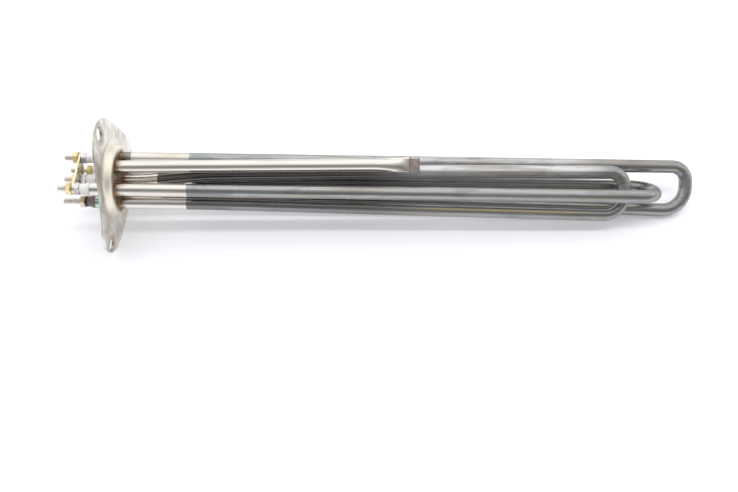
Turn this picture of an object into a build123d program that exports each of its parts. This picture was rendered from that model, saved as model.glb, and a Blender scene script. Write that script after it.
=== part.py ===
from build123d import *
import math
import os

# Immersion heating element with three hairpin loops and a sensor pocket on a pressed flange.
# The element's axis is +X, from the terminals towards the loops, and +Z is up as it lies down,
# on the flange's edge between two bolt lobes and on the long loop's bend.
# The origin is on that axis, at the centre of the bolt circle and midway through the plate there.
# Places across the axis are (y, z), and their angles run from +Y towards +Z.

os.makedirs("parts", exist_ok=True)

# Flange plate
plate_t = 1.6
dome_r = 20.6
dome_rise = 4.8
dome_corner_r = 1.6
valley_r = 24.0
valley_depth = 0.4
valley_corner_r = 2.6
land_rise = 1.5
land_inner_r = 29.5
land_outer_r = 34.0
land_corner_r = 4.0
rim_slope = 0.1
lobe_r = 21.9
lobe_centre_r = 24.5
lobe_count = 3
lobe_angle = 90
bolt_circle_r = 41.3
bolt_hole_d = 8.8
rim_round = 0.5
braze_gap = 0.05

# Heating loops
sheath_d = 8.5
sheath_wall = 0.7
sheath_tail = 10.4
root_circle_r = 13.9
root_turn = 4.9
root_step = 60
cold_length = 48.6
lift_start = 19.2
lift_x = 59.2
lift_bend_r = 160.0
spread_start = 60.6
spread_bend_r = 400.0
settle_x = 201.6

long_reach = 372.4
long_inner_corner_r = 9.0
long_outer_corner_r = 15.0
long_top_settle = (15.6, 3.4)
long_top_end = (16.4, 2.2)
long_bottom_end = (-5.8, -15.5)

short_reach = 329.1
short_inner_corner_r = 8.5
short_outer_corner_r = 13.0
short_top_lift = (3.1, 3.3)
short_top_settle = (5.7, 6.1)
short_top_end = (6.5, 7.0)
short_bottom_end = (-14.8, -9.8)

cross_reach = 348.8
cross_corner_r = 12.8
cross_back_lift = (9.5, -8.7)
cross_back_end = (8.7, -9.2)

# Inside the loops
coil_d = 3.4
seal_depth = 3.0
seal_proud = 0.4

# Sensor pocket
pocket_d = 8.0
pocket_wall = 0.5
pocket_tail = 5.4
pocket_reach = 193.6
pocket_tip = (2.6, 15.6)
crimp_length = 7.0
crimp_taper = 22.0
crimp_width = 9.8
crimp_t = 2.4
crimp_turn = 40.4
crimp_gap = 0.3

# Brazed joints round the tubes
braze_leg = 1.1

# Terminals
stud_d = 4.0
stud_tip = 31.2
stud_chamfer = 0.6
insulator_d = 6.6
insulator_collar_d = 7.8
insulator_collar_t = 2.0
insulator_bore_gap = 0.1
insulator_round = 0.5
nut_width = 7.0
nut_height = 3.2
nut_bore_gap = 0.05
nut_chamfer_angle = 30
nut_face_share = 0.95
nut_seat = 17.1
washer_d = 7.4
washer_t = 0.9
washer_gap = 0.1
washer_slit = 0.7
link_t = 1.2
link_margin = 3.4
link_hole_gap = 0.25
link_legs = ("a", "c", "d")
steel_nut_turns = {"a": 11, "c": 23, "d": 3}
brass_nut_turns = {"b": 7, "e": 17, "f": 19}
outer_nut_turns = {"a": 3, "c": 13, "d": 25}

# A face whose normal has no more than this along the axis stands square to the plate
level = 0.01

# Derived places
valley_x = -valley_depth
blank_r = lobe_centre_r + lobe_r + plate_t
rim_x = land_rise - rim_slope * (blank_r - land_outer_r)
seal_end = sheath_tail + seal_proud
pocket_crimp_start = pocket_reach - crimp_length
pocket_round_length = pocket_crimp_start - crimp_taper


def across(radius, angle):
    """A place across the axis, as (y, z)."""
    turn = math.radians(angle)
    return (radius * math.cos(turn), radius * math.sin(turn))


def root(step):
    """Where a tube on the root circle goes through the dome."""
    return across(root_circle_r, root_turn + step * root_step - root_step / 2)


# Each leg of a loop by its letter: b, a, pocket, d, e and f go round the circle, c is its centre
leg_root = {
    "a": root(1),
    "b": root(0),
    "c": (0, 0),
    "d": root(3),
    "e": root(4),
    "f": root(5),
}
pocket_root = root(2)


class Loop:
    """One hairpin loop: two legs, the slight bends in each, their ends and the corners at its reach."""

    def __init__(self, name, legs, bends, ends, reach, corners):
        self.name = name
        self.legs = legs
        self.starts = [leg_root[letter] for letter in legs]
        self.bends = bends
        self.bend_x = reach - sheath_d / 2
        self.ends = ends
        self.corners = corners

    def points(self, start_x):
        """The route's points, from start_x on one leg round the bend to start_x on the other."""
        sides = []
        for start, bends, end in zip(self.starts, self.bends, self.ends):
            ways = [(x, *place) for x, place, bend_r in bends]
            sides.append([(start_x, *start), *ways, (self.bend_x, *end)])
        return sides[0] + sides[1][::-1]

    def radii(self):
        """A bend radius for each inner point of the route."""
        first, second = ([bend_r for x, place, bend_r in bends] for bends in self.bends)
        return first + list(self.corners) + second[::-1]


def spread(letter):
    """The bend where a leg begins to spread from the straight bundle."""
    return (spread_start, leg_root[letter], spread_bend_r)


def lifted(letter, place):
    """Two bends close to the flange, which take a leg aside to a new place early on."""
    return [(lift_start, leg_root[letter], lift_bend_r), (lift_x, place, lift_bend_r)]


loops = [
    Loop(
        "long_loop",
        ("a", "f"),
        ([spread("a"), (settle_x, long_top_settle, spread_bend_r)], [spread("f")]),
        (long_top_end, long_bottom_end),
        long_reach,
        (long_inner_corner_r, long_outer_corner_r),
    ),
    Loop(
        "short_loop",
        ("c", "e"),
        ([*lifted("c", short_top_lift), (settle_x, short_top_settle, spread_bend_r)], [spread("e")]),
        (short_top_end, short_bottom_end),
        short_reach,
        (short_inner_corner_r, short_outer_corner_r),
    ),
    Loop(
        "cross_loop",
        ("d", "b"),
        ([], lifted("b", cross_back_lift)),
        (leg_root["d"], cross_back_end),
        cross_reach,
        (cross_corner_r, cross_corner_r),
    ),
]


def swept(loop, start_x, outer_d, inner_d=0):
    """A rod or tube along a loop's route."""
    with BuildPart() as tube:
        with BuildLine() as route:
            FilletPolyline(*loop.points(start_x), radius=loop.radii())
        with BuildSketch(Plane(origin=route.line @ 0, z_dir=route.line % 0)):
            Circle(outer_d / 2)
            if inner_d > 0:
                Circle(inner_d / 2, mode=Mode.SUBTRACT)
        sweep()
    return tube.part


def write(part, name):
    """Label a finished piece and write its STEP file."""
    part.label = name
    export_step(part, f"parts/{name}.step")


# The pocket leans a little, so its own plane carries its hole, tube and crimp
pocket_axis = Vector(pocket_reach, pocket_tip[0] - pocket_root[0], pocket_tip[1] - pocket_root[1])
pocket_start = Vector(0, *pocket_root) + pocket_axis.normalized() * -pocket_tail
crimp_side = Vector(0, *across(1, crimp_turn))
pocket_plane = Plane(origin=pocket_start, x_dir=crimp_side, z_dir=pocket_axis)

# Flange: a pressed plate with a raised dome, a valley round it and three swept-back bolt lobes
with BuildPart() as flange:
    with BuildSketch(Plane.XY):
        with BuildLine():
            front = FilletPolyline(
                (dome_rise, 0),
                (dome_rise, dome_r),
                (valley_x, valley_r),
                (land_rise, land_inner_r),
                (land_rise, land_outer_r),
                (rim_x, blank_r),
                radius=[dome_corner_r + plate_t, valley_corner_r, land_corner_r, land_corner_r],
            )
            offset(front, amount=plate_t, side=Side.LEFT)
        make_face()
    revolve(axis=Axis.X)
    with BuildSketch(Plane.YZ.offset(rim_x - 2 * plate_t)):
        with PolarLocations(lobe_centre_r, lobe_count, start_angle=lobe_angle):
            Circle(lobe_r)
        make_hull()
    extrude(amount=dome_rise - rim_x + 4 * plate_t, mode=Mode.INTERSECT)
    rim_walls = flange.faces().filter_by(lambda face: abs(face.normal_at(None).X) < level)
    fillet(rim_walls.edges().filter_by(Axis.X, reverse=True), rim_round)
    with BuildSketch(Plane.YZ.offset(rim_x - 2 * plate_t)):
        with PolarLocations(bolt_circle_r, lobe_count, start_angle=lobe_angle):
            Circle(bolt_hole_d / 2)
        for place in leg_root.values():
            with Locations(place):
                Circle(sheath_d / 2 + braze_gap)
    extrude(amount=dome_rise - rim_x + 4 * plate_t, mode=Mode.SUBTRACT)
    with BuildSketch(pocket_plane):
        Circle(pocket_d / 2 + braze_gap)
    extrude(amount=pocket_tail + dome_rise + plate_t, mode=Mode.SUBTRACT)
write(flange.part, "flange")

# Loops: a metal sheath, the insulating powder pressed inside it and the resistance coil,
# which is cut from one core so that both cold pins follow their legs up to it
cold_pins = {}
for loop in loops:
    inside_d = sheath_d - 2 * sheath_wall
    write(swept(loop, -sheath_tail, sheath_d, inside_d), f"{loop.name}_sheath")
    write(swept(loop, seal_depth - sheath_tail, inside_d, coil_d), f"{loop.name}_powder")
    core = swept(loop, -seal_end, coil_d)
    with BuildPart() as coil:
        add(core)
        split(bisect_by=Plane.YZ.offset(cold_length), keep=Keep.TOP)
    write(coil.part, f"{loop.name}_coil")
    with BuildPart() as pins:
        add(core)
        split(bisect_by=Plane.YZ.offset(cold_length), keep=Keep.BOTTOM)
    for letter in loop.legs:
        cold_pins[letter] = pins.solids().sort_by_distance((0, *leg_root[letter]))[0]

# Sensor pocket: a thin tube, open behind the flange and crimped flat and welded at its far end
with BuildPart() as pocket:
    with BuildSketch(pocket_plane):
        Circle(pocket_d / 2)
    extrude(amount=pocket_round_length + pocket_tail)
    with BuildSketch(pocket_plane.offset(pocket_round_length + pocket_tail)):
        Circle(pocket_d / 2)
    with BuildSketch(pocket_plane.offset(pocket_crimp_start + pocket_tail)):
        SlotOverall(crimp_width, crimp_t)
    loft()
    with BuildSketch(pocket_plane.offset(pocket_crimp_start + pocket_tail)):
        SlotOverall(crimp_width, crimp_t)
    extrude(amount=crimp_length)
    with BuildSketch(pocket_plane):
        Circle(pocket_d / 2 - pocket_wall)
    extrude(amount=pocket_round_length + pocket_tail, mode=Mode.SUBTRACT)
    with BuildSketch(pocket_plane.offset(pocket_round_length + pocket_tail)):
        Circle(pocket_d / 2 - pocket_wall)
    with BuildSketch(pocket_plane.offset(pocket_crimp_start + pocket_tail)):
        SlotOverall(crimp_width - 2 * pocket_wall, crimp_gap)
    loft(mode=Mode.SUBTRACT)
write(pocket.part, "sensor_pocket")

# Braze: a hollow fillet of filler metal round each tube where it leaves the dome
with BuildPart() as tube_braze:
    for y, z in leg_root.values():
        with BuildSketch(Plane.XY.offset(z)):
            with BuildLine():
                foot = (dome_rise, y + sheath_d / 2 + braze_leg)
                top = (dome_rise + braze_leg, y + sheath_d / 2)
                corner = (dome_rise, y + sheath_d / 2)
                RadiusArc(foot, top, -2 * braze_leg)
                Line(top, corner)
                Line(corner, foot)
            make_face()
        revolve(axis=Axis((0, y, z), (1, 0, 0)))
write(tube_braze.part, "tube_braze")

with BuildPart() as pocket_braze:
    y, z = pocket_root
    with BuildSketch(Plane.XY.offset(z)):
        with BuildLine():
            foot = (dome_rise, y + pocket_d / 2 + braze_leg)
            top = (dome_rise + braze_leg, y + pocket_d / 2)
            RadiusArc(foot, top, -2 * braze_leg)
            Polyline(top, (dome_rise + braze_leg, y), (dome_rise, y), foot)
        make_face()
    revolve(axis=Axis((0, y, z), (1, 0, 0)))
    with BuildSketch(pocket_plane):
        Circle(pocket_d / 2)
    extrude(amount=pocket_tail + dome_rise + 2 * braze_leg, mode=Mode.SUBTRACT)
write(pocket_braze.part, "pocket_braze")


def terminal_plane(letter, x):
    """The plane across a terminal at x, facing away from the flange."""
    return Plane(origin=(x, *leg_root[letter]), x_dir=(0, 1, 0), z_dir=(-1, 0, 0))


# Seals, insulators and pins, one of each on every leg
for letter in leg_root:
    with BuildPart() as pin:
        add(cold_pins[letter])
        with BuildSketch(terminal_plane(letter, -seal_end)):
            Circle(stud_d / 2)
        extrude(amount=stud_tip - seal_end)
        chamfer(pin.faces().sort_by(Axis.X)[0].edges(), stud_chamfer)
    write(pin.part, f"terminal_pin_{letter}")

    with BuildPart() as seal:
        with BuildSketch(terminal_plane(letter, seal_depth - sheath_tail)):
            Circle(sheath_d / 2 - sheath_wall)
            Circle(coil_d / 2, mode=Mode.SUBTRACT)
        extrude(amount=seal_depth + seal_proud)
    write(seal.part, f"end_seal_{letter}")

    with BuildPart() as insulator:
        with BuildSketch(terminal_plane(letter, -seal_end)):
            Circle(insulator_collar_d / 2)
        extrude(amount=insulator_collar_t)
        with BuildSketch(terminal_plane(letter, -seal_end - insulator_collar_t)):
            Circle(insulator_d / 2)
        extrude(amount=nut_seat - seal_end - insulator_collar_t)
        fillet(insulator.edges().filter_by(GeomType.CIRCLE).group_by(Axis.X)[0], insulator_round)
        with BuildSketch(terminal_plane(letter, -seal_end)):
            Circle(stud_d / 2 + insulator_bore_gap)
        extrude(amount=nut_seat - seal_end, mode=Mode.SUBTRACT)
    write(insulator.part, f"insulator_{letter}")


# Nuts: one hexagon nut with both faces chamfered, its seat in the plane x = 0
with BuildPart() as nut:
    with BuildSketch(Plane.YZ):
        RegularPolygon(nut_width / 2, 6, major_radius=False)
        Circle(stud_d / 2 + nut_bore_gap, mode=Mode.SUBTRACT)
    extrude(amount=-nut_height)
    with BuildSketch(Plane.XY):
        with BuildLine():
            corner_r = nut_width / math.sqrt(3)
            face_r = nut_width / 2 * nut_face_share
            drop = (corner_r - face_r) * math.tan(math.radians(nut_chamfer_angle))
            Polyline(
                (0, 0),
                (0, face_r),
                (-drop, corner_r),
                (drop - nut_height, corner_r),
                (-nut_height, face_r),
                (-nut_height, 0),
                close=True,
            )
        make_face()
    revolve(axis=Axis.X, mode=Mode.INTERSECT)

# Spring washers: a flat split ring, its seat in the plane x = 0
with BuildPart() as washer:
    with BuildSketch(Plane.YZ):
        Circle(washer_d / 2)
        Circle(stud_d / 2 + washer_gap, mode=Mode.SUBTRACT)
        with Locations((0, washer_d / 2)):
            Rectangle(washer_slit, washer_d, mode=Mode.SUBTRACT)
    extrude(amount=-washer_t)


def on_stud(letter, x, turn):
    """Where a fastener sits on a terminal, turned about the stud."""
    return Location((x, *leg_root[letter]), (turn, 0, 0))


# The nuts clamp the insulators, then the star link, a spring washer and a nut follow on three studs
link_seat = -nut_seat - nut_height
washer_seat = link_seat - link_t

with BuildPart() as inner_nuts:
    with Locations(*[on_stud(letter, -nut_seat, turn) for letter, turn in steel_nut_turns.items()]):
        add(nut.part)
write(inner_nuts.part, "inner_nuts_steel")

with BuildPart() as inner_brass_nuts:
    with Locations(*[on_stud(letter, -nut_seat, turn) for letter, turn in brass_nut_turns.items()]):
        add(nut.part)
write(inner_brass_nuts.part, "inner_nuts_brass")

with BuildPart() as spring_washers:
    with Locations(
        *[on_stud(letter, washer_seat, turn) for letter, turn in outer_nut_turns.items()]
    ):
        add(washer.part)
write(spring_washers.part, "spring_washers")

with BuildPart() as outer_nuts:
    with Locations(
        *[on_stud(letter, washer_seat - washer_t, turn) for letter, turn in outer_nut_turns.items()]
    ):
        add(nut.part)
write(outer_nuts.part, "outer_nuts")

# Star link: a brass plate that joins one end of each loop
with BuildPart() as star_link:
    with BuildSketch(Plane.YZ.offset(link_seat)):
        for letter in link_legs:
            with Locations(leg_root[letter]):
                Circle(link_margin)
        make_hull()
        for letter in link_legs:
            with Locations(leg_root[letter]):
                Circle(stud_d / 2 + link_hole_gap, mode=Mode.SUBTRACT)
    extrude(amount=-link_t)
write(star_link.part, "star_link")
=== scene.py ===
import math

import bmesh
import bpy
from mathutils import Matrix, Vector


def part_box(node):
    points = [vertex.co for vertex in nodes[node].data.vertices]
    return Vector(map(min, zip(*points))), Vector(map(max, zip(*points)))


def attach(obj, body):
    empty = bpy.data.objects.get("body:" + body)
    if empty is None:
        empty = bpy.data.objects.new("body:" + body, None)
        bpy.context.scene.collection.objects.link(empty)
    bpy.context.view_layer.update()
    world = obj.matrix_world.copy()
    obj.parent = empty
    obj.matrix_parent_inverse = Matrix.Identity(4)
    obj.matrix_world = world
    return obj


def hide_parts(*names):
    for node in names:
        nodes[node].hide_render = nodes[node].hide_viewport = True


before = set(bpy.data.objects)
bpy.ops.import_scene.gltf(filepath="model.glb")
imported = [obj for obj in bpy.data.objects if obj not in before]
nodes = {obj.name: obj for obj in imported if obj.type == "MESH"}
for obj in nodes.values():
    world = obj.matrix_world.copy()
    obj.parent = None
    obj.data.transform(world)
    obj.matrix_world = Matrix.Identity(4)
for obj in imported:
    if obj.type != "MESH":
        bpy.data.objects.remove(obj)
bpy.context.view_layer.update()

# An immersion heating element lying on a white floor, as it rests on its flange and its longest loop.
# Lengths are in metres, in the part's own frame: +X from the terminals to the loops, +Z up.
# Colours are (red, green, blue). A pair of colours goes from where a pattern is low to where it is high.
mm = 0.001
legs = "abcdef"
loops = ("long", "short", "cross")

# Sizes of the part that its boxes don't give directly
stud_r = 2.0 * mm
pin_r = 1.7 * mm
bolt_circle_r = 41.3 * mm

# The studs' rolled thread, which runs on a little inside the insulator
thread_pitch = 0.7 * mm
thread_depth = 0.28 * mm
thread_inside = 2.0 * mm
tip_chamfer = 0.6 * mm
neck = 1.0 * mm
points_around = 24
rings_per_turn = 6


def centre_of(node):
    """The middle of a node's box."""
    low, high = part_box(node)
    return (low + high) / 2


# Where each leg goes through the flange, as (y, z)
leg_place = {leg: centre_of(f"end_seal_{leg}").yz for leg in legs}

# The bolt holes, as (y, z), a third of a turn apart from the top one on
bolt_holes = []
for turn in range(3):
    angle = math.radians(90 + 120 * turn)
    bolt_holes.append((bolt_circle_r * math.cos(angle), bolt_circle_r * math.sin(angle)))

# Where the brown heat tint starts on the tubes, as a soft edge in x just behind the dome's face
root_start = (3.2 * mm, 4.2 * mm)


def add_object(name, data):
    """A new object in the scene that shows some data."""
    thing = bpy.data.objects.new(name, data)
    bpy.context.scene.collection.objects.link(thing)
    return thing


class Tree:
    """The nodes of a material or of the world, with short names for what the recipes use."""

    def __init__(self, owner):
        owner.use_nodes = True
        self.nodes = owner.node_tree.nodes
        self.links = owner.node_tree.links

    def put(self, socket, value):
        """Links an output to a socket, or sets the socket's plain value."""
        if isinstance(value, bpy.types.NodeSocket):
            self.links.new(value, socket)
        elif isinstance(value, tuple):
            socket.default_value = (*value, 1.0)
        else:
            socket.default_value = value

    def calc(self, operation, *values):
        """The output of one Math node."""
        node = self.nodes.new("ShaderNodeMath")
        node.operation = operation
        for socket, value in zip(node.inputs, values):
            self.put(socket, value)
        return node.outputs[0]

    def times(self, first, *others):
        """The product of two or more values."""
        product = first
        for other in others:
            product = self.calc("MULTIPLY", product, other)
        return product

    def inverse(self, share):
        """What a share leaves of 1."""
        return self.calc("SUBTRACT", 1.0, share)

    def part_of(self, vector, letter):
        """The X, Y or Z of a vector output."""
        split = self.nodes.new("ShaderNodeSeparateXYZ")
        self.put(split.inputs[0], vector)
        return split.outputs[letter]

    def mix(self, share, first, second):
        """A colour between two others."""
        node = self.nodes.new("ShaderNodeMix")
        node.data_type = "RGBA"
        self.put(node.inputs["Factor"], share)
        self.put(node.inputs[6], first)
        self.put(node.inputs[7], second)
        return node.outputs[2]


class Finish(Tree):
    """A procedural material."""

    def __init__(self, name, roughness=0.4, metallic=0.0):
        self.material = bpy.data.materials.new(name)
        super().__init__(self.material)
        self.shader = self.nodes["Principled BSDF"]
        self.shader.inputs["Roughness"].default_value = roughness
        self.shader.inputs["Metallic"].default_value = metallic
        self.place = self.nodes.new("ShaderNodeTexCoord").outputs["Object"]

    def axis(self, letter):
        """One coordinate of the place on the object."""
        return self.part_of(self.place, letter)

    def facing(self, letter):
        """How far the surface faces along one of the world's axes, from -1 to 1."""
        geometry = self.nodes.new("ShaderNodeNewGeometry")
        return self.part_of(geometry.outputs["Normal"], letter)

    def ragged_x(self, noise, width):
        """The place's x, moved to and fro by a noise within a band of some width."""
        return self.calc("ADD", self.axis("X"), self.times(self.calc("SUBTRACT", noise, 0.5), width))

    def noise(self, size, stretch=(1, 1, 1), detail=3, roughness=0.5, distortion=0.0):
        """Noise whose cells are about size metres wide, longer by stretch along each axis."""
        scale = self.nodes.new("ShaderNodeMapping")
        self.put(scale.inputs["Vector"], self.place)
        scale.inputs["Scale"].default_value = [1 / (size * s) for s in stretch]
        node = self.nodes.new("ShaderNodeTexNoise")
        self.put(node.inputs["Vector"], scale.outputs[0])
        node.inputs["Scale"].default_value = 1.0
        node.inputs["Detail"].default_value = detail
        node.inputs["Roughness"].default_value = roughness
        node.inputs["Distortion"].default_value = distortion
        return node.outputs["Fac"]

    def rises(self, value, low, high):
        """Rises smoothly from 0 at low to 1 at high."""
        node = self.nodes.new("ShaderNodeMapRange")
        node.interpolation_type = "SMOOTHSTEP"
        for name, number in (("Value", value), ("From Min", low), ("From Max", high)):
            self.put(node.inputs[name], number)
        return node.outputs["Result"]

    def falls(self, value, low, high):
        """Falls smoothly from 1 at low to 0 at high."""
        return self.inverse(self.rises(value, low, high))

    def between(self, value, start, end):
        """1 between two soft edges, each given as its low and high."""
        return self.times(self.rises(value, *start), self.falls(value, *end))

    def near(self, point, low, high):
        """1 on a line along X through point (y, z), falling to 0 between the radii low and high."""
        dy = self.calc("SUBTRACT", self.axis("Y"), point[0])
        dz = self.calc("SUBTRACT", self.axis("Z"), point[1])
        square = self.calc("ADD", self.times(dy, dy), self.times(dz, dz))
        return self.falls(self.calc("SQRT", square), low, high)

    def mottled(self, pattern, shades, low=0.35, high=0.65):
        """Goes from the first of two shades to the second as a pattern rises from low to high."""
        return self.mix(self.rises(pattern, low, high), *shades)

    def stained(self, color, stain, where, share):
        """A colour that a stain covers, by a share at most, where a pattern is 1."""
        return self.mix(self.times(where, share), color, stain)

    def drawn(self, lines, shades, patch_size, stain, share):
        """Drawn tube: fine lines along it in two shades, and a stain in patches that are long in X."""
        patches = self.rises(self.noise(patch_size, stretch=(6, 1, 1)), 0.5, 0.75)
        return self.stained(self.mottled(lines, shades), stain, patches, share)

    def color(self, value):
        """Sets the base colour."""
        self.put(self.shader.inputs["Base Color"], value)

    def roughness(self, base, *additions):
        """Sets the roughness: a base, and an amount of each pattern on top."""
        total = base
        for pattern, amount in additions:
            total = self.calc("ADD", total, self.times(pattern, amount))
        self.put(self.shader.inputs["Roughness"], total)

    def bump(self, height, depth, strength):
        """Raises the surface by height times depth metres, for its shading."""
        node = self.nodes.new("ShaderNodeBump")
        node.inputs["Strength"].default_value = strength
        node.inputs["Distance"].default_value = depth
        self.put(node.inputs["Height"], height)
        self.put(self.shader.inputs["Normal"], node.outputs[0])


class Sheath(Finish):
    """A heater tube: bright up to each leg's cold end, and oxidised from there round its bend.

    ends names its two legs, and a pair of values is for them in turn. cold_ends says where their
    bright parts end, and shade_share, reflection_and_patina and pale how much painted shade, golden
    painted reflection and pale painted highlight their hot parts carry. A leg with a golden reflection
    has green patina on its tail too. heat_band says where a grey band lies on the first leg, or is None.
    """

    def __init__(self, name, ends, cold_ends, heat_band, shade_share, reflection_and_patina, pale):
        super().__init__(name, metallic=1.0)
        first, second = (leg_place[leg] for leg in ends)
        away = second - first
        across = self.calc("ADD", self.times(self.axis("Y"), away[0]), self.times(self.axis("Z"), away[1]))
        self.on_second = self.calc("GREATER_THAN", across, away.dot((first + second) / 2))
        self.x = self.ragged_x(self.noise(3 * mm), width=1.5 * mm)
        self.lines = self.noise(0.9 * mm, stretch=(90, 1, 1), detail=2)
        self.blotches = self.noise(4 * mm, stretch=(4, 1, 1))
        self.far = self.rises(self.x, 100 * mm, 200 * mm)

        past_cold_end = self.calc("SUBTRACT", self.x, self.each_leg(cold_ends))
        hot = self.rises(past_cold_end, -0.5 * mm, 0.5 * mm)
        self.color(self.mix(hot, self.cold_part(heat_band, reflection_and_patina), self.hot_part(shade_share, reflection_and_patina, pale)))
        self.roughness(0.12, (hot, 0.02), (self.far, 0.15), (self.blotches, 0.10))
        self.bump(self.lines, depth=0.02 * mm, strength=0.15)

    def each_leg(self, values):
        """The first value on the first leg and the second on the second."""
        return self.calc("ADD", values[0], self.times(self.on_second, values[1] - values[0]))

    def cold_part(self, heat_band, reflection_and_patina):
        """Bright drawn steel with tan patches and a brown root, and any grey band and green patina."""
        steel = (0.70, 0.66, 0.61), (0.82, 0.79, 0.74)
        tan = (0.66, 0.57, 0.45)
        band_grey = (0.27, 0.27, 0.27)
        root_brown = (0.26, 0.15, 0.07)
        patina = (0.40, 0.60, 0.55)
        root_end = (5.7 * mm, 9.2 * mm)
        tail_end = (-8.6 * mm, -7.8 * mm)

        color = self.drawn(self.lines, steel, 9 * mm, tan, share=0.7)
        if heat_band:
            band_start = (heat_band[0] - 0.5 * mm, heat_band[0] + 0.5 * mm)
            band_end = (heat_band[1] - 0.4 * mm, heat_band[1] + 0.4 * mm)
            on_band = self.times(self.between(self.x, band_start, band_end), self.each_leg((1.0, 0.0)))
            color = self.mix(on_band, color, band_grey)
        color = self.stained(color, root_brown, self.between(self.x, root_start, root_end), share=0.8)
        on_tail = self.times(self.falls(self.x, *tail_end), self.each_leg(reflection_and_patina))
        return self.mix(on_tail, color, patina)

    def hot_part(self, shade_share, reflection_and_patina, pale):
        """Grey oxide in fine lines, with streaks and blotches, and a pale painted highlight, painted shade
        and a golden painted reflection.
        """
        near_oxide = (0.31, 0.325, 0.325), (0.47, 0.48, 0.475)
        far_oxide = (0.26, 0.267, 0.265), (0.385, 0.39, 0.385)
        painted_highlight = (0.72, 0.715, 0.71)
        oxide_and_underside_shade = (0.19, 0.20, 0.20)
        streak_brown = (0.33, 0.285, 0.22)
        blotch_grey = (0.22, 0.24, 0.24)
        painted_shade = (0.13, 0.12, 0.115)
        painted_gold_reflection = (0.52, 0.43, 0.25)
        dark_end = (66 * mm, 84 * mm)
        shade_end = (155 * mm, 205 * mm)
        reflection_start = (170 * mm, 215 * mm)
        reflection_end = (285 * mm, 312 * mm)
        highlight_end = (290 * mm, 325 * mm)

        # A pale painted highlight lies on the upper side and fades out towards the bend
        upper_side = self.rises(self.facing("Z"), 0.1, 0.6)
        highlighted = self.times(self.falls(self.x, *highlight_end), self.each_leg(pale), upper_side)
        far_part = self.mix(highlighted, self.mottled(self.lines, far_oxide, 0.3, 0.7), painted_highlight)
        color = self.mix(self.far, self.mottled(self.lines, near_oxide, 0.3, 0.7), far_part)

        # Darker below and at the sides, just past the cold ends: partly heat-blackened oxide, partly
        # painted shade
        below = self.falls(self.facing("Z"), 0.35, 0.75)
        color = self.stained(color, oxide_and_underside_shade, self.times(below, self.falls(self.x, *dark_end)), share=0.7)
        streaks = self.noise(3 * mm, stretch=(24, 1, 1), detail=2)
        color = self.stained(color, streak_brown, self.rises(streaks, 0.5, 0.66), share=0.6)
        color = self.stained(color, blotch_grey, self.rises(self.blotches, 0.5, 0.68), share=0.5)
        # Painted shade darkens the legs that lie under or behind the others, fading out along them
        shaded_part = self.times(self.falls(self.x, *shade_end), self.each_leg(shade_share))
        color = self.mix(shaded_part, color, painted_shade)

        # A golden painted reflection lies near the top, on the side towards the camera
        near_top = self.rises(self.facing("Z"), 0.66, 0.80)
        near_side = self.falls(self.facing("Y"), -0.45, -0.25)
        reflected = self.times(self.between(self.x, reflection_start, reflection_end), self.each_leg(reflection_and_patina),
                            near_top, near_side)
        return self.mix(reflected, color, painted_gold_reflection)


def flange_finish():
    """Pressed stainless plate: warm and satin, stained grey outside and browned round the tubes, with
    painted shade round the bolt holes.
    """
    plate_steel = (0.66, 0.61, 0.53), (0.80, 0.77, 0.71)
    grey_stain = (0.46, 0.45, 0.41)
    painted_hole_shade = (0.42, 0.38, 0.31)
    dome_shine = (0.95, 0.87, 0.70)
    face_brown = (0.28, 0.21, 0.14)
    root_brown = (0.14, 0.08, 0.045)
    middle = (0, 0)

    finish = Finish("pressed_plate", metallic=1.0)
    stains = finish.noise(11 * mm, detail=4, roughness=0.55, distortion=0.4)
    greys = finish.noise(7 * mm, stretch=(1, 1, 1.6))
    grain = finish.noise(0.7 * mm, detail=4, roughness=0.7)
    color = finish.mottled(stains, plate_steel, 0.36, 0.62)
    outside = finish.inverse(finish.near(middle, 24 * mm, 30 * mm))
    greyed = finish.times(outside, finish.rises(greys, 0.42, 0.66))
    color = finish.stained(color, grey_stain, greyed, share=0.7)
    # Painted shade rings each bolt hole
    for hole in bolt_holes:
        color = finish.stained(color, painted_hole_shade, finish.near(hole, 5.6 * mm, 8.6 * mm), share=0.8)
    color = finish.stained(color, dome_shine, finish.near(middle, 21 * mm, 26 * mm), share=0.65)
    on_face = finish.rises(finish.axis("X"), 3.8 * mm, 4.7 * mm)
    heated = finish.times(finish.near(middle, 17 * mm, 24 * mm), on_face)
    color = finish.stained(color, face_brown, heated, share=0.75)
    for place in [*leg_place.values(), centre_of("pocket_braze").yz]:
        ring = finish.times(finish.near(place, 4.6 * mm, 7.0 * mm), on_face)
        color = finish.stained(color, root_brown, ring, share=0.85)
    finish.color(color)
    finish.roughness(0.33, (stains, 0.14))
    finish.bump(grain, depth=0.03 * mm, strength=0.4)
    return finish


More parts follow.
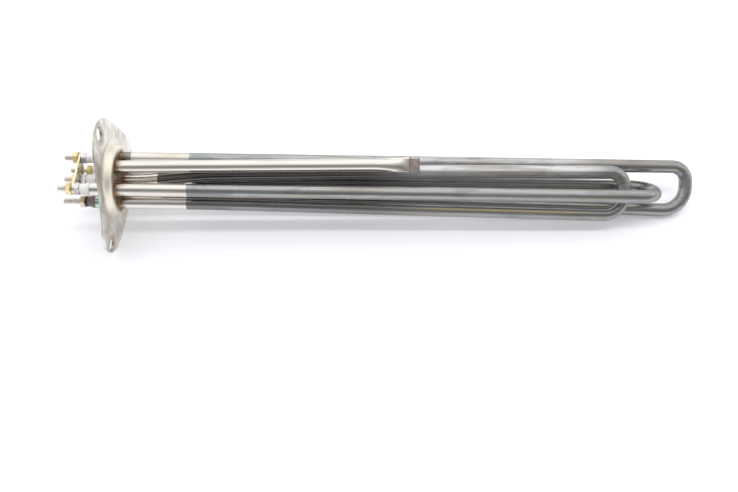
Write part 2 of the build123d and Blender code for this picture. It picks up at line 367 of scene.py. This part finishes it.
def pocket_finish():
    """The sensor pocket: bright drawn tube with a brown root, and a heat-tinted weld along its flat end."""
    steel = (0.74, 0.70, 0.64), (0.84, 0.81, 0.75)
    tan = (0.68, 0.62, 0.51)
    weld_tint = (0.44, 0.36, 0.34), (0.62, 0.55, 0.53)
    weld_edge = (0.26, 0.18, 0.13)
    root_brown = (0.28, 0.17, 0.08)
    root_end = (5.7 * mm, 8.2 * mm)
    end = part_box("sensor_pocket")[1].x

    finish = Finish("pocket_tube", metallic=1.0)
    lines = finish.noise(0.8 * mm, stretch=(90, 1, 1), detail=2)
    tube = finish.drawn(lines, steel, 8 * mm, tan, share=0.5)
    speckle = finish.noise(1.3 * mm)
    x = finish.ragged_x(speckle, width=2 * mm)
    on_weld = finish.rises(x, end - 7.2 * mm, end - 6.2 * mm)
    at_tip = finish.rises(x, end - 1.4 * mm, end - 0.4 * mm)
    at_start = finish.falls(x, end - 6.2 * mm, end - 5.0 * mm)
    weld = finish.mottled(speckle, weld_tint)
    weld = finish.stained(weld, weld_edge, finish.calc("MAXIMUM", at_tip, at_start), share=0.6)
    tube = finish.mix(on_weld, tube, weld)
    on_root = finish.between(finish.axis("X"), root_start, root_end)
    finish.color(finish.stained(tube, root_brown, on_root, share=0.7))
    finish.roughness(0.13, (on_weld, 0.25))
    finish.bump(lines, depth=0.02 * mm, strength=0.25)
    return finish


def machined(name, roughness, grain_size):
    """A machined or plated metal with a fine grain, and the pattern of the slight stains on it."""
    finish = Finish(name, metallic=1.0)
    grain = finish.noise(grain_size, detail=4, roughness=0.65)
    finish.roughness(roughness, (grain, 0.15))
    finish.bump(grain, depth=0.02 * mm, strength=0.4)
    return finish, finish.noise(2.5 * mm)


def metal_finish(name, shades, roughness, grain_size=0.4 * mm):
    """Plain machined or plated metal, slightly stained."""
    finish, stains = machined(name, roughness, grain_size)
    finish.color(finish.mottled(stains, shades))
    return finish


def inner_brass_finish():
    """The brass nuts against the insulators: leg b's is olive, and the others' are dull tan."""
    tan = (0.55, 0.48, 0.36), (0.74, 0.68, 0.55)
    olive = (0.42, 0.36, 0.12), (0.60, 0.53, 0.24)
    finish, stains = machined("dull_brass", roughness=0.25, grain_size=0.4 * mm)
    on_b = finish.near(leg_place["b"], 5 * mm, 6 * mm)
    finish.color(finish.mix(on_b, finish.mottled(stains, tan), finish.mottled(stains, olive)))
    return finish


def link_finish():
    """The star link: pale brass, with brown painted shade on the face towards the flange."""
    clean = (0.78, 0.68, 0.40), (0.92, 0.84, 0.58)
    painted_brass_shade = (0.34, 0.22, 0.12), (0.72, 0.66, 0.54)
    finish, stains = machined("link_brass", roughness=0.22, grain_size=0.4 * mm)
    # Painted shade darkens the face towards the flange
    flange_side = finish.rises(finish.facing("X"), 0.4, 0.8)
    finish.color(finish.mix(flange_side, finish.mottled(stains, clean), finish.mottled(stains, painted_brass_shade)))
    return finish


def white_ceramic_finish():
    """White ceramic with fine pits and a little dirt."""
    clean_to_dirty = (0.95, 0.95, 0.94), (0.72, 0.68, 0.64)
    finish = Finish("white_ceramic", roughness=0.35)
    pits = finish.noise(0.5 * mm, detail=4, roughness=0.7)
    finish.color(finish.mottled(finish.noise(2.2 * mm), clean_to_dirty, 0.5, 0.75))
    finish.bump(pits, depth=0.03 * mm, strength=0.4)
    return finish


def dark_ceramic_finish():
    """Leg e's insulator: black against its nut and brown from there to the sheath."""
    black = (0.03, 0.025, 0.02)
    brown = (0.20, 0.13, 0.11), (0.44, 0.37, 0.35)
    finish = Finish("dark_ceramic", roughness=0.4)
    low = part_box("insulator_e")[0]
    speckle = finish.noise(0.9 * mm, detail=4, roughness=0.7)
    past_nut = finish.rises(finish.ragged_x(speckle, width=1.2 * mm), low.x + 1.2 * mm, low.x + 2.2 * mm)
    finish.color(finish.mix(past_nut, black, finish.mottled(speckle, brown, 0.4, 0.65)))
    finish.bump(speckle, depth=0.05 * mm, strength=0.5)
    return finish


def resin_finish():
    """The green resin in the sheaths' ends."""
    green = (0.10, 0.30, 0.26), (0.22, 0.44, 0.38)
    finish = Finish("seal_resin", roughness=0.5)
    finish.color(finish.mottled(finish.noise(1.5 * mm), green, 0.4, 0.7))
    return finish


def powder_finish():
    """The pressed white powder round the coils."""
    finish = Finish("pressed_powder", roughness=0.9)
    finish.color(finish.mix(finish.noise(0.6 * mm), (0.82, 0.82, 0.80), (0.90, 0.90, 0.88)))
    return finish


def cover(finish, *names):
    """Gives CAD nodes a finish."""
    for name in names:
        nodes[name].data.materials.clear()
        nodes[name].data.materials.append(finish.material)


def stud_rings(leg, shank_end):
    """A stud's surface from its tip to its neck, as rings that are each an x and the radii round it."""
    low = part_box(f"terminal_pin_{leg}")[0]
    thread_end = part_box(f"insulator_{leg}")[0].x + thread_inside
    flank_power = 0.8

    def thread_r(x, turn):
        """The radius at x, after a share of one turn round the stud."""
        phase = ((x - low.x) / thread_pitch + turn) % 1.0
        groove = thread_depth * (1 - abs(2 * phase - 1)) ** flank_power
        run_out = min(1.0, max(0.0, (thread_end - x) / thread_pitch))
        lead_in = min(stud_r, stud_r - tip_chamfer + (x - low.x))
        return min(stud_r - groove * run_out, lead_in)

    rings = []
    x = low.x
    while x < thread_end + thread_pitch:
        rings.append((x, [thread_r(x, step / points_around) for step in range(points_around)]))
        x += thread_pitch / rings_per_turn
    rings.append((shank_end, [stud_r] * points_around))
    rings.append((shank_end, [pin_r] * points_around))
    rings.append((shank_end + neck, [pin_r] * points_around))
    return rings


def add_rings(bm, rings, y, z):
    """Adds rings round a line along X through (y, z) to a mesh, joined by faces and closed at both ends."""
    circles = []
    for x, radii in rings:
        circle = []
        for step, radius in enumerate(radii):
            angle = 2 * math.pi * step / points_around
            circle.append(bm.verts.new((x, y + radius * math.cos(angle), z + radius * math.sin(angle))))
        circles.append(circle)
    for here, after in zip(circles, circles[1:]):
        for step in range(points_around):
            following = (step + 1) % points_around
            bm.faces.new((here[step], here[following], after[following], after[step]))
    bm.faces.new(circles[0][::-1])
    bm.faces.new(circles[-1])


def threaded_stud(leg):
    """A terminal pin with its rolled thread, in place of the plain rod."""
    rod = nodes[f"terminal_pin_{leg}"]
    shank_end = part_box(f"insulator_{leg}")[1].x
    mesh = bpy.data.meshes.new(f"stud_{leg}")
    bm = bmesh.new()

    # The cold pin past the stud keeps the rod's own route inside the sheath
    bm.from_mesh(rod.data)
    bm.transform(rod.matrix_world)
    cut = bmesh.ops.bisect_plane(bm, geom=[*bm.verts, *bm.edges, *bm.faces], clear_inner=True,
                                 plane_co=(shank_end + neck / 2, 0, 0), plane_no=(1, 0, 0))
    rim = [part for part in cut["geom_cut"] if isinstance(part, bmesh.types.BMEdge)]
    bmesh.ops.edgeloop_fill(bm, edges=rim)

    add_rings(bm, stud_rings(leg, shank_end), *leg_place[leg])
    bmesh.ops.recalc_face_normals(bm, faces=bm.faces)
    bm.to_mesh(mesh)
    bm.free()
    return add_object(f"stud_{leg}", mesh)


# Finishes of the CAD nodes
sheath_zones = {
    "long_loop_sheath": {
        "ends": "af",
        "cold_ends": (48.0 * mm, 46.7 * mm),
        "heat_band": (4.4 * mm, 11.4 * mm),
        "shade_share": (0.0, 0.6),
        "reflection_and_patina": (0.0, 0.0),
        "pale": (0.55, 0.0),
    },
    "short_loop_sheath": {
        "ends": "ce",
        "cold_ends": (28.6 * mm, 46.7 * mm),
        "heat_band": None,
        "shade_share": (0.85, 0.45),
        "reflection_and_patina": (0.0, 0.8),
        "pale": (0.9, 0.0),
    },
    "cross_loop_sheath": {
        "ends": "db",
        "cold_ends": (49.0 * mm, 47.2 * mm),
        "heat_band": None,
        "shade_share": (0.0, 0.85),
        "reflection_and_patina": (0.0, 0.0),
        "pale": (0.2, 0.0),
    },
}
for node, zones in sheath_zones.items():
    cover(Sheath(f"{node}_steel", **zones), node)

filler = (0.12, 0.07, 0.04), (0.30, 0.21, 0.12)
bright_zinc = (0.62, 0.62, 0.65), (0.84, 0.84, 0.87)
tarnished_zinc = (0.46, 0.40, 0.30), (0.62, 0.56, 0.44)
yellow_brass = (0.70, 0.55, 0.26), (0.88, 0.74, 0.43)
coil_grey = (0.28, 0.27, 0.26), (0.40, 0.39, 0.38)
warm_steel = (0.72, 0.69, 0.65), (0.86, 0.83, 0.79)

cover(flange_finish(), "flange")
cover(pocket_finish(), "sensor_pocket")
cover(metal_finish("filler_metal", filler, 0.35, grain_size=0.5 * mm), "tube_braze", "pocket_braze")
cover(metal_finish("zinc_nut", bright_zinc, 0.2), "inner_nuts_steel")
cover(metal_finish("zinc_washer", tarnished_zinc, 0.3), "spring_washers")
cover(metal_finish("brass", yellow_brass, 0.2), "outer_nuts")
cover(inner_brass_finish(), "inner_nuts_brass")
cover(link_finish(), "star_link")
cover(white_ceramic_finish(), *[f"insulator_{leg}" for leg in "abcdf"])
cover(dark_ceramic_finish(), "insulator_e")
cover(resin_finish(), *[f"end_seal_{leg}" for leg in legs])
cover(powder_finish(), *[f"{loop}_loop_powder" for loop in loops])
cover(metal_finish("coil_wire", coil_grey, 0.35), *[f"{loop}_loop_coil" for loop in loops])

stud_steel = metal_finish("stud_steel", warm_steel, 0.2)
for leg in legs:
    stud = threaded_stud(leg)
    stud.data.materials.append(stud_steel.material)
    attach(stud, "root")
    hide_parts(f"terminal_pin_{leg}")


def floor_mesh():
    """A wide square, tilted a little to touch the flange's edge and the long loop's bend."""
    half = 3.0
    bend_inset = 8 * mm
    flange_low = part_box("flange")[0]
    loop_low, loop_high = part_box("long_loop_sheath")
    slope = (loop_low.z - flange_low.z) / (loop_high.x - bend_inset)
    corners = []
    for sx, sy in ((-1, -1), (1, -1), (1, 1), (-1, 1)):
        corners.append((sx * half, sy * half, flange_low.z + slope * sx * half))
    mesh = bpy.data.meshes.new("floor")
    mesh.from_pydata(corners, [], [(0, 1, 2, 3)])
    return mesh


def floor_paint():
    """White floor: lit paint that takes the shadows, and a lift to white that only shows."""
    lift_strength = 0.26
    material = bpy.data.materials.new("floor_white")
    tree = Tree(material)
    tree.nodes.remove(tree.nodes["Principled BSDF"])
    paint = tree.nodes.new("ShaderNodeBsdfDiffuse")
    paint.inputs["Color"].default_value = (0.82, 0.825, 0.86, 1)
    lift = tree.nodes.new("ShaderNodeEmission")
    lift.inputs["Color"].default_value = (0.96, 0.97, 1.0, 1)

    # Only rays from the camera, in gloss and through glass see the lift
    rays = tree.nodes.new("ShaderNodeLightPath").outputs
    seen = tree.calc("MAXIMUM", rays["Is Camera Ray"], rays["Is Glossy Ray"])
    seen = tree.calc("MAXIMUM", seen, rays["Is Transmission Ray"])
    tree.put(lift.inputs["Strength"], tree.times(seen, lift_strength))
    both = tree.nodes.new("ShaderNodeAddShader")
    tree.put(both.inputs[0], paint.outputs[0])
    tree.put(both.inputs[1], lift.outputs[0])
    tree.put(tree.nodes["Material Output"].inputs["Surface"], both.outputs[0])
    return material


floor = add_object("floor", floor_mesh())
floor.data.materials.append(floor_paint())

# The tent's light by the angle round the part's axis, from behind the part (0 degrees) over the top
# (90) to the front (180). It is dim where the camera stands. Below the horizon it is as at the
# first angle.
tent_light = [
    (14, 0.85), (34, 1.30), (90, 1.32), (101, 1.08), (113, 0.72),
    (126, 0.44), (139, 0.24), (148, 0.27), (163, 0.46), (176, 0.62),
]


def tent_world():
    """A tent that lights the part and shows in its gloss, and plain white for the camera."""
    blue_gain = 1.01
    world = bpy.data.worlds.new("tent")
    tree = Tree(world)
    way = tree.nodes.new("ShaderNodeTexCoord").outputs["Generated"]
    angle = tree.calc("ARCTAN2", tree.part_of(way, "Z"), tree.part_of(way, "Y"))
    tent = tree.nodes.new("ShaderNodeValToRGB")
    tree.put(tent.inputs[0], tree.calc("DIVIDE", angle, math.pi))
    stops = tent.color_ramp.elements
    for index, (degrees, light) in enumerate(tent_light):
        # A new ramp has its first two stops already
        stop = stops[index] if index < 2 else stops.new(degrees / 180)
        stop.position = degrees / 180
        stop.color = (light, light, light * blue_gain, 1)
    rays = tree.nodes.new("ShaderNodeLightPath").outputs
    backing = tree.nodes["Background"]
    tree.put(backing.inputs["Color"], tree.mix(rays["Is Camera Ray"], tent.outputs[0], (1.0, 1.0, 1.0)))
    backing.inputs["Strength"].default_value = 1.0
    return world


def add_strip_lamp():
    """A long soft lamp above the part. It casts the shadows, and the metal doesn't mirror it."""
    place = Vector((0.18, -0.05, 1.0))
    target = Vector((0.18, 0, 0))
    lamp = bpy.data.lights.new("overhead_strip", "AREA")
    lamp.shape = "RECTANGLE"
    lamp.size = 1.6
    lamp.size_y = 0.09
    lamp.energy = 3.4
    strip = add_object("overhead_strip", lamp)
    strip.location = place
    strip.rotation_euler = (target - place).normalized().to_track_quat("-Z", "Y").to_euler()
    strip.visible_glossy = False


def photo_camera():
    """The camera, at the photograph's angle."""
    place = Vector((0.1568, -0.3517, 0.4076))
    forward = Vector((0.0112, 0.5956, -0.8032)).normalized()
    right = Vector((0.99985, 0.0042, 0.0171))
    right = (right - forward * right.dot(forward)).normalized()
    axes = Matrix((right, right.cross(forward), -forward)).transposed()
    data = bpy.data.cameras.new("camera")
    data.lens = 41.05
    data.sensor_width = 36
    camera = add_object("camera", data)
    camera.matrix_world = Matrix.Translation(place) @ axes.to_4x4()
    return camera


bpy.context.scene.world = tent_world()
add_strip_lamp()
bpy.context.scene.camera = photo_camera()
bpy.context.scene.view_settings.view_transform = "Standard"
